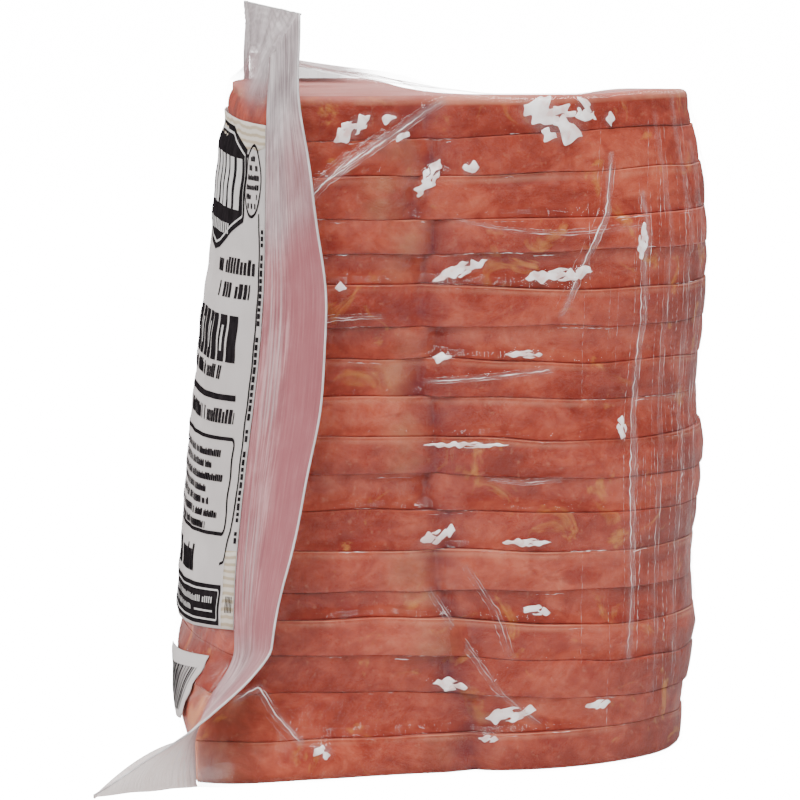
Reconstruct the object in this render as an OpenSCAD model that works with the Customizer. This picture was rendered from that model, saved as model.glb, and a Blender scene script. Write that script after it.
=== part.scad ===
// Vacuum-sealed pack of smoked ham slices, standing on its base.
// +Z runs up the stack, -Y is the labelled front and +X is the right side.
// Lengths are in millimetres.

/* [Slices] */
// Number of slices in the stack
slice_count = 18; // [8:1:24]
// Thickness of one slice
slice_t = 4.8; // [3:0.1:7]
// Half width of the largest slice, left to right
slice_half_w = 37; // [34:0.1:38]
// How far the bottom slice reaches to the front
front_reach = 34.6; // [31:0.1:35]
// How much less the top slice reaches to the front
front_fall = 7.8; // [0:0.1:9]
// How far the bottom slice reaches to the back
back_reach = 32.6; // [28:0.1:36]
// How much more the top slice reaches to the back
back_gain = 1.2; // [0:0.1:3]
// Squareness of a slice's back half, where 2 is an ellipse
back_square = 3; // [2.6:0.1:4]
// Squareness of a slice's front half, where 2 is an ellipse
front_square = 4; // [2.6:0.1:4]
// Share by which a slice narrows towards its back edge
taper = 0.06; // [0:0.01:0.1]
// Most by which one slice is smaller than its neighbours
slice_vary = 0.5; // [0:0.1:0.8]
// Depth of the muscle seam in the right side of the stack
seam_depth = 1.2; // [0:0.1:2]

/* [Films] */
// Thickness of each film
film_t = 0.3; // [0.2:0.05:0.5]
// Clearance between the slices and the films
film_gap = 0.4; // [0.3:0.05:0.8]
// Height of the film tent above the top slice, at the front
tent_h = 4.6; // [2:0.1:8]
// Depth of the tent from the front, where it lands on the top slice
tent_run = 26; // [15:1:30]
// Clearance under the front of the pocket, where the rim is tucked
tuck_h = 0.35; // [0.35:0.05:1]

/* [Rim] */
// Half width of the pocket where it meets the rim
root_x = 39; // [38.7:0.1:44]
// Width of the rim beside the pocket
rim_w = 11; // [6:0.5:16]
// Height of the rim above the pocket
top_rim_h = 5.5; // [3:0.5:14]
// Where the upper part of the rim starts, in front of the middle
rim_front = 25.6; // [24:0.1:26]
// How much further forward the lower part of the rim starts
rim_lean = 3.9; // [0:0.1:4]
// How far the rim leans back at its outer edge
flare = 2.7; // [0:0.1:5]
// How much further back the rim bends halfway up the sides
side_bend = 3.4; // [0:0.1:6]
// How far the right bottom corner of the pocket is pulled forward
corner_pull = 6.1; // [0:0.1:8]
// How far the tip at the right bottom corner swings forward
tip_swing = 21.6; // [12:0.1:26]

/* [Label] */
// Width of the front label
label_w = 74; // [50:1:76]
// Height of the front label
label_h = 67; // [30:1:70]
// Height of the label's lower edge
label_z = 16; // [14:1:20]
// Right end of the patch of bars under the label
patch_x = 30; // [20:1:34]
// Width of the patch of bars
patch_w = 34; // [20:1:36]
// Height of the patch of bars
patch_h = 8; // [5:0.5:9]
// Thickness of the label and the patch
label_t = 0.15; // [0.1:0.05:0.3]

/* [Hidden] */
base_z = tuck_h + film_t;
stack_h = slice_count * slice_t;
stack_top = base_z + stack_h;
weld_top = stack_top + tent_h;
rim_top = weld_top + top_rim_h;
rim_x = root_x + rim_w;
// Steps: degrees round a slice, rings up the pocket, rows and columns in the sheets
outline_step = 6;
levels = 12;
rows = 24;
cols = 20;
// Angles from which the pocket's wall follows the slices, and where its back closes
front_angle = -9;
back_angle = 87;
// How the front of the stack falls back towards the top and rounds in at the foot
fall_power = 2.2;
foot_inset = 2.4;
foot_h = 14;
// Half width of the muscle seam, and its way across the right side
seam_w = 4;
seam_front = -7;
// The lid bulges forward between the rims, less at the foot and towards the top weld
front_bulge = 6.2;
foot_bulge = 1.6;
foot_rise = 20;
bulge_z = 50;
bulge_power = 3.2;
label_gap = 0.08;
// Heights over which the rim leans forward and its right corner is pulled forward
lean_z = 20;
lean_rise = 45;
pull_z = 5;
pull_rise = 12;
// Middle and half height of the bend in the side rims
bend_z = 53;
bend_h = 37;
upper_bend = 1.6;
// The cut edge swings forward below this height, down to the tip
swing_z = 18.5;
swing_power = 1.4;
tip_z = 0.5;
row_power = 1.4;
foot_lift = [-0.3, -0.6, 0.6];
// The bottom rim is folded from here to the tip, and its tucked part ends here under the pocket
fold_x = 8;
fold_power = 0.65;
tuck_depth = 19;
tuck_t = tuck_h - 0.05;

function slice_name(i) = str("slice_", i < 10 ? "0" : "", i);
function lerp(a, b, t) = a + (b - a) * t;
function clamp(t) = max(0, min(1, t));
function smooth(t) = pow(clamp(t), 2) * (3 - 2 * clamp(t));
function level(z) = clamp((z - base_z) / stack_h);
function signed_power(v, p) = sign(v) * pow(abs(v), p);

// How far the stack reaches to the front and to the back at a height
function foot_round(z) = foot_inset * (1 - smooth(z / foot_h));
function front_at(z) = front_reach - front_fall * pow(level(z), fall_power) - foot_round(z);
function back_at(z) = back_reach + back_gain * level(z);

// A point of the stack's outline at an angle, where 0 is the right and 90 the back
function outline_point(a, z, grow) =
    let (back = a > 0 && a < 180,
        power = 2 / (back ? back_square : front_square),
        y = signed_power(sin(a), power) * (grow + (back ? back_at(z) : front_at(z))))
    [signed_power(cos(a), power) * (slice_half_w + grow) * (1 - taper * y / back_reach), y];

// The muscle seam drifts from in front of the middle to the middle, going down
function seam_y(z) = seam_front * (1 - pow(1 - level(z), 3));
function seam_cut(p, z) = p[0] > 0 ? seam_depth * exp(-pow((p[1] - seam_y(z)) / seam_w, 2)) : 0;

// Small fixed differences between the slices
function slice_inset(i) = slice_vary * (0.5 + 0.5 * sin(i * 137));

module slice(i) {
    z = base_z + (i - 1) * slice_t;
    mid = z + slice_t / 2;
    points = [for (a = [0:outline_step:359]) outline_point(a, mid, -slice_inset(i))];
    color(i % 2 == 0 ? "indianred" : "salmon")
        translate([0, 0, z])
            linear_extrude(height = slice_t)
                polygon([for (p = points) [p[0] - seam_cut(p, mid), p[1]]]);
}

// A closed thin solid between two equal grids of points
module slab(front, back) {
    nr = len(front);
    nc = len(front[0]);
    size = nr * nc;
    function at(r, c) = r * nc + c;
    front_faces = [for (r = [0:nr - 2], c = [0:nc - 2])
        each [[at(r, c), at(r + 1, c + 1), at(r, c + 1)], [at(r, c), at(r + 1, c), at(r + 1, c + 1)]]];
    back_faces = [for (f = front_faces) [f[2] + size, f[1] + size, f[0] + size]];
    edge = concat([for (c = [0:nc - 1]) at(0, c)], [for (r = [1:nr - 1]) at(r, nc - 1)],
        [for (c = [nc - 2:-1:0]) at(nr - 1, c)], [for (r = [nr - 2:-1:1]) at(r, 0)]);
    edge_faces = [for (i = [0:len(edge) - 1])
        let (a = edge[i], b = edge[(i + 1) % len(edge)])
        each [[a, b, a + size], [b, b + size, a + size]]];
    polyhedron(concat([for (r = front) each r], [for (r = back) each r]),
        concat(front_faces, back_faces, edge_faces));
}

// Where the lid meets the pocket: u is -1 at the left side and 1 at the right
function rim_base(z) = -rim_front - rim_lean * (1 - smooth((z - lean_z) / lean_rise));
function pull(z) = corner_pull * (1 - smooth((z - pull_z) / pull_rise));
function root_y(z, u) = rim_base(z) - pull(z) * (u + 1) / 2;
function bulge(z) = lerp(foot_bulge, front_bulge, smooth(z / foot_rise))
    * (1 - pow(clamp((z - bulge_z) / (weld_top - bulge_z)), 3));
function lid_y(z, u) = root_y(z, u) - bulge(z) * (1 - pow(abs(u), bulge_power));

// The pocket's side wall, from the weld at the front to the middle of the back
wall_angles = [for (a = [front_angle:outline_step:back_angle]) a];
wall_count = len(wall_angles) + 2;
function wall_point(k, z, grow) =
    k == 0 ? [root_x - film_gap - film_t + grow, root_y(z, 1)] :
    k == 1 ? let (p = outline_point(front_angle, z, grow))
        [lerp(p[0], root_x, 0.3) - film_t + grow, -tuck_depth] :
    outline_point(wall_angles[k - 2], z, grow);
function left_y(k, z, y) = k == 0 ? root_y(z, -1) : y;
function floor_z(k) = k < 2 ? tuck_h : 0;
function roof_z(y) = stack_top + film_t + (tent_h - film_t) * clamp((y + tent_run - rim_front) / -tent_run);

// One ring of the pocket, up its left side and down its right side
function ring_side(k, grow, side) = [for (j = [0:levels])
    let (inner = grow > film_gap ? 0 : film_t,
        top = roof_z(wall_point(k, stack_top, grow)[1]) - inner,
        z = lerp(floor_z(k) + inner, top, j / levels),
        p = wall_point(k, z, grow))
    [side * p[0], side > 0 ? p[1] : left_y(k, z, p[1]), z]];
function reversed(v) = [for (i = [len(v) - 1:-1:0]) v[i]];
function ring(k, grow) = concat(ring_side(k, grow, -1), reversed(ring_side(k, grow, 1)));

module forming_film() {
    loop = 2 * (levels + 1);
    size = loop * wall_count;
    outer = [for (k = [0:wall_count - 1]) each ring(k, film_gap + film_t)];
    inner = [for (k = [0:wall_count - 1]) each ring(k, film_gap)];
    function at(k, m) = k * loop + m % loop;
    wall = [for (k = [0:wall_count - 2], m = [0:loop - 1])
        each [[at(k, m), at(k + 1, m + 1), at(k, m + 1)], [at(k, m), at(k + 1, m), at(k + 1, m + 1)]]];
    last = wall_count - 1;
    cap = [for (j = [0:levels - 1])
        let (a = at(last, j), b = at(last, j + 1), c = at(last, loop - 2 - j), d = at(last, loop - 1 - j))
        each [[a, c, b], [a, d, c]]];
    outside = concat(wall, cap);
    inside = [for (f = outside) [f[2] + size, f[1] + size, f[0] + size]];
    mouth = [for (m = [0:loop - 1])
        let (a = at(0, m), b = at(0, m + 1))
        each [[a, b, a + size], [b, b + size, a + size]]];
    color("lavenderblush", 0.4)
        polyhedron(concat(outer, inner), concat(outside, inside, mouth));
}

// A patch of the lid's front surface, moved forward by an amount
function lid_patch(x0, x1, z0, z1, nx, nz, ahead) = [for (r = [0:nz]) [for (c = [0:nx])
    let (x = lerp(x0, x1, c / nx), z = lerp(z0, z1, r / nz))
    [x, lid_y(z, x / root_x) - ahead, z]]];

module lidding_film() {
    color("lavenderblush", 0.4)
        slab(lid_patch(-root_x, root_x, tuck_h, weld_top, cols, rows, film_t),
            lid_patch(-root_x, root_x, tuck_h, weld_top, cols, rows, 0));
}

module lid_panel(x0, x1, z0, z1, shade) {
    color(shade)
        slab(lid_patch(x0, x1, z0, z1, cols, rows / 2, film_t + label_gap + label_t),
            lid_patch(x0, x1, z0, z1, cols, rows / 2, film_t + label_gap));
}

module front_label() {
    lid_panel(-label_w / 2, label_w / 2, label_z, label_z + label_h, "ivory");
}

module bar_patch() {
    lid_panel(patch_x - patch_w, patch_x, label_z - patch_h - 1, label_z - 1, "white");
}

// A strip of the rim between its root and its cut edge, with the front face shifted by lift
module strip(root, edge, lift) {
    color("gainsboro", 0.6)
        slab([for (i = [0:len(root) - 1]) [root[i] + lift[i], edge[i] + lift[i]]],
            [for (i = [0:len(root) - 1]) [root[i], edge[i]]]);
}

// The rim's cut edge bends back halfway up, and at the right it swings forward to the tip
function edge_bend(z) = pow(cos(clamp(abs(z - bend_z) / bend_h) * 90), z > bend_z ? upper_bend : 1);
function swing(z) = tip_swing * pow(clamp((swing_z - z) / (swing_z - tip_z)), swing_power);
function edge_y(z, side) = rim_base(z) + flare + side_bend * edge_bend(z) - (side > 0 ? swing(z) : 0);
function side_step(i) = pow(i / rows, row_power);
function side_lift(i, side) = film_t * lerp(side < 0 ? [0, -1, 0] : foot_lift, [0, -1, 0],
    smooth(side_step(i) * 6));

module side_rim(side) {
    steps = side > 0 ? [0:rows] : [rows:-1:0];
    root_z = [for (i = steps) lerp(tuck_h, weld_top, side_step(i))];
    edge_z = [for (i = steps) lerp(tip_z, rim_top, side_step(i))];
    strip([for (z = root_z) [side * root_x, root_y(z, side), z]],
        [for (z = edge_z) [side * rim_x, edge_y(z, side), z]],
        [for (i = steps) side_lift(i, side)]);
}

module top_rim() {
    strip([for (side = [1, -1]) [side * root_x, root_y(weld_top, side), weld_top]],
        [for (side = [1, -1]) [side * rim_x, edge_y(rim_top, side), rim_top]],
        [for (side = [1, -1]) [0, -film_t, 0]]);
}

// The bottom rim lies forward at the right and is folded under the pocket along a slanting line
function foot_y(x) = lid_y(tuck_h, max(-1, min(1, x / root_x)));
function fold_y(x) = x < fold_x ? foot_y(x) :
    lerp(foot_y(fold_x), edge_y(tip_z, 1), pow((x - fold_x) / (rim_x - fold_x), fold_power));
function tucked_y(x) = fold_y(x) + max(0.2, rim_w + fold_y(x) - foot_y(x));

module bottom_rim() {
    xs = [for (i = [0:cols]) lerp(fold_x + 0.5, rim_x, i / cols)];
    function along(x) = (x - fold_x) / (rim_x - fold_x);
    function inner(x) = lerp(fold_x, root_x, along(x));
    strip([for (x = xs) [inner(x), foot_y(inner(x)), tuck_h]],
        [for (x = xs) [x, fold_y(x), lerp(tuck_h, tip_z, along(x))]],
        [for (x = xs) [0, 0, film_t]]);
    under = [for (i = [0:rows]) lerp(-rim_x, rim_x, i / rows)];
    color("gainsboro", 0.6)
        linear_extrude(height = tuck_t)
            polygon(concat([for (x = under) [x, fold_y(x)]], [for (x = reversed(under)) [x, tucked_y(x)]]));
}

for (i = [1:slice_count]) slice(i);
forming_film();
lidding_film();
top_rim();
side_rim(1);  // right_rim
side_rim(-1);  // left_rim
bottom_rim();
front_label();
bar_patch();
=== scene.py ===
"""Looks for a vacuum-sealed pack of smoked ham slices. Shapes are worked out in millimetres."""

import math

import bpy
import numpy as np
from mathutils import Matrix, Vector


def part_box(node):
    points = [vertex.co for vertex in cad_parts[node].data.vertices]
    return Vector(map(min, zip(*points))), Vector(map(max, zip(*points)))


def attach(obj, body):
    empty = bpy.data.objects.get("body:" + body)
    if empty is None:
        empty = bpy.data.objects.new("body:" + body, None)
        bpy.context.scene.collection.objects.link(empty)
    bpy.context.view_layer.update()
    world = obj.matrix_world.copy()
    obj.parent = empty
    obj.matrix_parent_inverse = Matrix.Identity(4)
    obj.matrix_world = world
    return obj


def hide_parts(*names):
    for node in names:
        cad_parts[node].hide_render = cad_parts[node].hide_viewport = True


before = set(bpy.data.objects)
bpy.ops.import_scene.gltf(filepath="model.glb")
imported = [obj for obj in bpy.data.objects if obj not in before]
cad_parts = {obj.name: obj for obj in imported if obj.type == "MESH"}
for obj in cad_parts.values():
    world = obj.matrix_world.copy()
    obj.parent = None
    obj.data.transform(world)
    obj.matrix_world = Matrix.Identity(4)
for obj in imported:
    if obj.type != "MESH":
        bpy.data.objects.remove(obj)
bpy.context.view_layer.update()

MM = 0.001


def mm_box(node):
    return [np.array(list(corner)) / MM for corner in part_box(node)]


# ---------------------------------------------------------------- camera
AZIMUTH, PITCH, DISTANCE = math.radians(84.25), math.radians(5.477), 665
AIM_Y, CAMERA_Z, LENS = -5.63, 108.4, 224.3
camera = bpy.data.objects.new("camera", bpy.data.cameras.new("camera"))
bpy.context.collection.objects.link(camera)
camera.data.sensor_width, camera.data.lens = 36, LENS
camera.data.clip_start, camera.data.clip_end = 0.01, 60
camera_y = AIM_Y - DISTANCE * math.cos(AZIMUTH)
camera.location = (DISTANCE * math.sin(AZIMUTH) * MM, camera_y * MM, CAMERA_Z * MM)
camera.rotation_euler = (math.pi / 2 - PITCH, 0, AZIMUTH)
bpy.context.scene.camera = camera

# ---------------------------------------------------------------- sizes shared with the CAD model
first, last = mm_box("slice_01"), mm_box("slice_18")
BASE, SLICE_T, COUNT = first[0][2], first[1][2] - first[0][2], 18
TOP = last[1][2]
lid_box, rim_box = mm_box("lidding_film"), mm_box("top_rim")
ROOT_X, WELD, RIM_TOP, RIM_X = lid_box[1][0], lid_box[1][2], rim_box[1][2], rim_box[1][0]
# the stack: half its width, its reach to the front, how far the front falls back at the top, its
# reach to the back, and how much deeper the back is at the top
HALF_W, FRONT, FALL, BACK_Y, GAIN = 37, 34.6, 6.5, 32.6, 1.2
# the rim: how far forward its weld lies, how much it leans out at the foot, how far its cut edge
# stands back from the weld and bends, and how far the lower right corner is pulled and swings out
RIM_FRONT, LEAN, FLARE, BEND, PULL, SWING = 25.6, 3.9, 2.7, 3.4, 6.1, 21.6
# the film: where the left of the top weld lies back, how far the foot of the right weld spreads,
# and how far the back of the underside is raised
WELD_BACK, SPREAD, BACK_LIFT = 2.7, 5.8, 0.15
# the bottom rim: the heights of its weld and its right tip, and where the fold under the pack starts
TUCK, TIP_Z, FOLD_X = 0.35, 0.5, 8

# from the bottom up: how far each cut between slices rises or sinks at the front and at the back of
# the right side, how proud of its neighbours each slice stands, and how far its back reaches
FRONT_RISE = [
    0, 0.2, 1, 0.9, 0.7, -0.7, -0.3, 0.1, -0.2, -0.1, 0.2, 0.2, -0.6, 0, -0.9, -1.3, -0.6, -0.8, 0,
]
BACK_RISE = [
    0, 0.1, -0.9, -1.1, -1.1, -1.4, -1.1, -1.1, -1.4, -1.2, -0.9, -0.9, -1, -1, -0.8, -1.3, -0.2, 0.2, 0,
]
PROUD = [
    0.2, -0.5, -0.1, 0.4, -0.6, 0.4, -0.3, -0.4, 0.5, 0.1, -0.2, -0.6, 0.4, -0.6, 0.2, 0.1, -0.3, 0,
]
BACK_SHIFT = [
    -1.5, -1.2, -0.6, 0.1, -0.4, -0.6, 0.1, 0.5, 0.4, -0.2, -0.1, 0.3, 0.5, 0.8, 0.5, 0, -0.8, -1.9,
]


def smooth(t):
    t = np.clip(t, 0, 1)
    return t * t * (3 - 2 * t)


def lerp(a, b, t):
    return a + (b - a) * t


def power(v, p):
    return np.sign(v) * np.abs(v) ** p


def bell(v):
    return np.exp(-(v**2))


def xyz(x, y, z):
    return np.stack(np.broadcast_arrays(x, y, z), -1).astype(float)


def unit(v):
    return v / (np.linalg.norm(v, axis=-1, keepdims=True) + 1e-9)


def run_of(path):
    """The length along a path, from 0, at each of its points."""
    return np.concatenate([[0], np.cumsum(np.linalg.norm(np.diff(path, axis=0), axis=1))])


def resample(at, known, values):
    """The columns of values, known at some heights, read at other heights."""
    columns = range(values.shape[1])
    at, known = (g if g.ndim == 2 else np.repeat(g[:, None], len(columns), 1) for g in (at, known))
    return np.array([np.interp(at[:, c], known[:, c], values[:, c]) for c in columns]).T


def waves(seed, *coords, n=5, low=0.5, high=1.5):
    """Smooth fixed unevenness between about -1 and 1. low and high are in turns per unit."""
    r = np.random.default_rng(seed)
    total = 0
    for _ in range(n):
        direction = r.normal(size=len(coords))
        direction *= 2 * math.pi * r.uniform(low, high) / np.linalg.norm(direction)
        total = total + np.sin(sum(c * d for c, d in zip(coords, direction)) + r.uniform(0, 6.28))
    return total / math.sqrt(n) / 1.2


def level(z):
    return np.clip((z - BASE) / (TOP - BASE), 0, 1)


def front_at(z):
    return FRONT - FALL * level(z) ** 3 - 0.3 * (1 - smooth(z / 14))


def drawn(z, u):
    """How far the lower right corner is pulled forward. u is -1 at the left weld and 1 at the right."""
    return PULL * (1 - smooth((z - 5) / 12)) * (u + 1) / 2


def outline(a, z, grow=0.0):
    """A point round the stack at angle a in radians, 0 at the right and a quarter turn at the back."""
    s, c = np.sin(a), np.cos(a)
    blunt = np.where(s > 0, 2 / 3, 2 / 7)
    y = power(s, blunt) * (grow + np.where(s > 0, BACK_Y + GAIN * level(z), front_at(z)))
    x = power(c, blunt) * (HALF_W + grow) * (1 - 0.06 * y / BACK_Y)
    ahead = smooth((-y - 2) / 24)
    inside_lid = lid_y(np.minimum(x, ROOT_X), z) + 0.42 - 0.22 * smooth((z - 14) / 8)
    y = np.maximum(y - drawn(z, x / ROOT_X) * ahead, inside_lid)
    return x + SPREAD * (1 - smooth((z + 1) / 13)) * ahead**1.5 * smooth((x - 10) / 26), y


def rim_base(z):
    return -RIM_FRONT - LEAN * (1 - smooth((z - 20) / 45))


def root_y(z, u):
    return rim_base(z) - drawn(z, u) + WELD_BACK * (1 - u) / 2 * smooth((z - 78) / 7)


def side_x(z):
    """The weld on the right, drawn outwards at the foot."""
    return ROOT_X + 0.95 * SPREAD * (1 - smooth((z + 1) / 12))


def lid_y(x, z):
    """The lid's place: it swells over the front, and comes back to the weld at its sides and top."""
    u = np.clip(x / ROOT_X, -1, 1)
    swell = lerp(1.7, 5.15, smooth((z - 1) / 12)) - 0.5 * bell((z - 30) / 9)
    to_weld = np.clip((z - 84) / (WELD - 84), 0, 1) ** 1.2
    swell = swell * (1 - 0.43 * smooth((z - 54) / 27) - 0.57 * to_weld)
    near_weld = smooth((z - 80) / 6) * (1 - smooth((z - 86.6) / 2.4))
    swell = swell + 0.45 * WELD_BACK * (1 - u) * near_weld
    return root_y(z, u) - swell * (1 - np.abs(u) ** 3.2)


def edge_y(z, side):
    """The cut edge of the rim; side is 1 for the right and -1 for the left."""
    half = np.clip(np.abs(z - 53) / 37, 0, 1)
    bend = np.cos(half * math.pi / 2) ** np.where(z > 53, 1.6, 1)
    swing = SWING * np.clip((18.5 - z) / 18, 0, 1) ** 1.4 * (side > 0)
    return rim_base(z) + FLARE + BEND * bend - swing - 0.5 * smooth((30 - z) / 12) * (side > 0)


def foot_y(x):
    return lid_y(x, TUCK + 0 * x)


def fold_y(x):
    """The front of the bottom rim: along the foot, then out to the drawn corner's tip."""
    t = np.clip((x - FOLD_X) / (RIM_X - FOLD_X), 0, 1)
    return np.where(x < FOLD_X, foot_y(x), lerp(foot_y(FOLD_X + 0 * x), edge_y(TIP_Z, 1), t**0.65))


def top_sink(x, y):
    """The top slice falls away towards the far side, behind its front."""
    across = 3.1 * smooth((36 - x) / 68) * smooth((y + 8) / 14) * (1 - 0.5 * smooth((y - 17) / 12))
    return across + 0.45 * (1 - smooth((y - 14) / 12))


def tent_z(x, y):
    """Height of the pocket's roof: a tent at the front that comes down onto the top slice."""
    t = np.clip((3 - y) / (RIM_FRONT + 3), 0, 1)
    weld = WELD - 1.4 * smooth((20 - x) / 50)
    return lerp(TOP + 0.12 - top_sink(x, y), weld, 0.65 * t + 0.35 * t**3)


def sole_z(y):
    """The underside rises a little towards the back."""
    return BACK_LIFT * smooth((y + 6) / 44) ** 1.3


# ---------------------------------------------------------------- the ham
def cut_z(i, x, y):
    """The height of the cut above slice i."""
    near = lerp(FRONT_RISE[i], BACK_RISE[i], smooth((y + 16) / 38))
    # the far side has the same numbers in the opposite order
    far = 0.8 * lerp(BACK_RISE[COUNT - i], FRONT_RISE[COUNT - i], smooth((y + 20) / 40))
    ends = 1.0 if 0 < i < COUNT else 0.0
    uneven = 0.16 * ends * waves(40 + i, x, y, n=6, low=0.02, high=0.09)
    even = BASE + i * SLICE_T - (i / COUNT) ** 4 * top_sink(x, y)
    even = even + (1 - i / 4) * (sole_z(y) - 0.4) if i < 4 else even
    return even + lerp(far, near, smooth((x + 20) / 45)) * ends + uneven


MIDDLES = BASE + (np.arange(COUNT) + 0.5) * SLICE_T
EDGE_R, TOP_R, FOOT_R = 0.18, 0.9, 1.5


def seam_y(i, z):
    """The place of the dent between the two muscles, on the right side of slice i."""
    return 0.6 - 7 * (1 - (1 - level(z)) ** 3) + 1.3 * math.sin(i * 2.4)


def side_grow(i, x, y, z):
    """How far the side of slice i stands out from the even outline."""
    ahead, behind = smooth((-y - 16) / 9), smooth((y - 6) / 20)
    turn = np.arctan2(y, x)
    uneven = 0.3 * waves(70 + i, np.cos(turn) * 2, np.sin(turn) * 2, n=6, low=0.15, high=0.55)
    back = 0.92 * np.interp(z, MIDDLES, BACK_SHIFT) + 0.08 * BACK_SHIFT[i]
    grow = 0.6 * PROUD[i] * (1 - ahead) * (1 - 0.8 * behind) + back * behind + uneven * (1 - 0.8 * ahead)
    off = np.abs(y - seam_y(i, z))
    seam = 0.9 * bell(off / 2.2) + 0.7 * np.exp(-off / 0.7) + 0.4 * bell(off / 8)
    left_seam = 0.9 * bell((y + 3 - 2 * math.sin(i * 1.7)) / 3.4)
    return grow - 0.35 * ahead - np.where(x > 0, seam, left_seam) * (np.abs(x) > 15)


def ham_grow(x, y, z):
    """How far the side of the whole stack stands out at a height, with the grooves between slices."""
    grow = np.full(np.broadcast(x, y, z).shape, -3.0)
    for i in range(COUNT):
        low, high = cut_z(i, x, y), cut_z(i + 1, x, y)
        r = {0: FOOT_R, COUNT - 1: TOP_R}.get(i, EDGE_R)
        d = np.clip(np.minimum(z - low, high - z), 0, r)
        if i == 0:
            d = np.where(z < (low + high) / 2, d, np.clip(high - z, 0, EDGE_R) + r - EDGE_R)
        if i == COUNT - 1:
            d = np.where(z > (low + high) / 2, d, np.clip(z - low, 0, EDGE_R) + r - EDGE_R)
        inside = (z >= low) & (z <= high)
        grow = np.where(inside, side_grow(i, x, y, z) - (r - np.sqrt(r * r - (r - d) ** 2)), grow)
    return grow


# ---------------------------------------------------------------- mesh makers
def new_object(name, points, faces, material, nodes=(), attributes=None):
    points = np.reshape(points, (-1, 3)).astype(float)
    mesh = bpy.data.meshes.new(name)
    mesh.vertices.add(len(points))
    mesh.vertices.foreach_set("co", (points * MM).ravel())
    loops = np.concatenate([f.ravel() for f in faces])
    sizes = np.concatenate([np.full(len(f), f.shape[1]) for f in faces])
    mesh.loops.add(len(loops))
    mesh.loops.foreach_set("vertex_index", loops)
    mesh.polygons.add(len(sizes))
    mesh.polygons.foreach_set("loop_start", np.concatenate([[0], np.cumsum(sizes)[:-1]]))
    mesh.polygons.foreach_set("use_smooth", np.ones(len(sizes), bool))
    for key, values in (attributes or {}).items():
        values = np.asarray(values, float).reshape(len(points), -1)
        vector = values.shape[1] == 3
        layer = mesh.attributes.new(key, "FLOAT_VECTOR" if vector else "FLOAT", "POINT")
        layer.data.foreach_set("vector" if vector else "value", values.ravel())
    mesh.update()
    mesh.validate()
    mesh.materials.append(material)
    obj = bpy.data.objects.new(name, mesh)
    bpy.context.collection.objects.link(obj)
    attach(obj, "root")
    if nodes:
        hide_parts(*nodes)


def grid_faces(rows, cols, loop=False, flip=False, start=0):
    r, c = np.meshgrid(np.arange(rows - 1), np.arange(cols if loop else cols - 1), indexing="ij")
    nxt = (c + 1) % cols
    quads = np.stack([r * cols + c, r * cols + nxt, (r + 1) * cols + nxt, (r + 1) * cols + c], -1)
    quads = quads.reshape(-1, 4) + start
    return quads[:, ::-1] if flip else quads


def thick_sheet(name, front, back, material, nodes=(), attributes=None):
    """A closed thin solid between two equal grids; front has its rows up and its columns to the right."""
    rows, cols = front.shape[:2]
    size = rows * cols
    at = np.arange(size).reshape(rows, cols)
    rim = np.concatenate([at[0, :-1], at[:-1, -1], at[-1, :0:-1], at[:0:-1, 0]])
    nxt = np.roll(rim, -1)
    sides = np.stack([nxt, rim, rim + size, nxt + size], -1)
    faces = [grid_faces(rows, cols), grid_faces(rows, cols, flip=True, start=size), sides]
    both = {key: np.stack([values, values]) for key, values in (attributes or {}).items()}
    new_object(name, np.stack([front, back]), faces, material, nodes, both)


def tube_rings(path, width, up, out, sides, flat=1.0):
    """Rings round a path between two directions across it, and the faces that join and close them."""
    a = np.linspace(0, 2 * math.pi, sides, endpoint=False)
    across = np.cos(a)[:, None] * up[:, None] + flat * np.sin(a)[:, None] * out[:, None]
    size = len(path) * sides
    ends = [np.arange(sides)[None, ::-1], np.arange(size - sides, size)[None]]
    return path[:, None] + width * across, [grid_faces(len(path), sides, loop=True)] + ends


def tube(name, path, radius, material, sides=6):
    """A thin round bead along a path."""
    along = unit(np.gradient(path, axis=0))
    up = unit(np.cross(along, [0.31, 0.87, 0.2]))
    rings, faces = tube_rings(path, radius, up, np.cross(along, up), sides)
    new_object(name, rings, faces, material)


class Gathered:
    """Collects small shapes into one mesh."""

    def __init__(self):
        self.points, self.faces, self.count = [], [], 0

    def take(self, points, faces):
        self.faces += [f + self.count for f in faces]
        self.points.append(points.reshape(-1, 3))
        self.count += len(self.points[-1])

    def make(self, name, material, slot):
        new_object(name, np.concatenate(self.points), self.faces, material)


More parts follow.
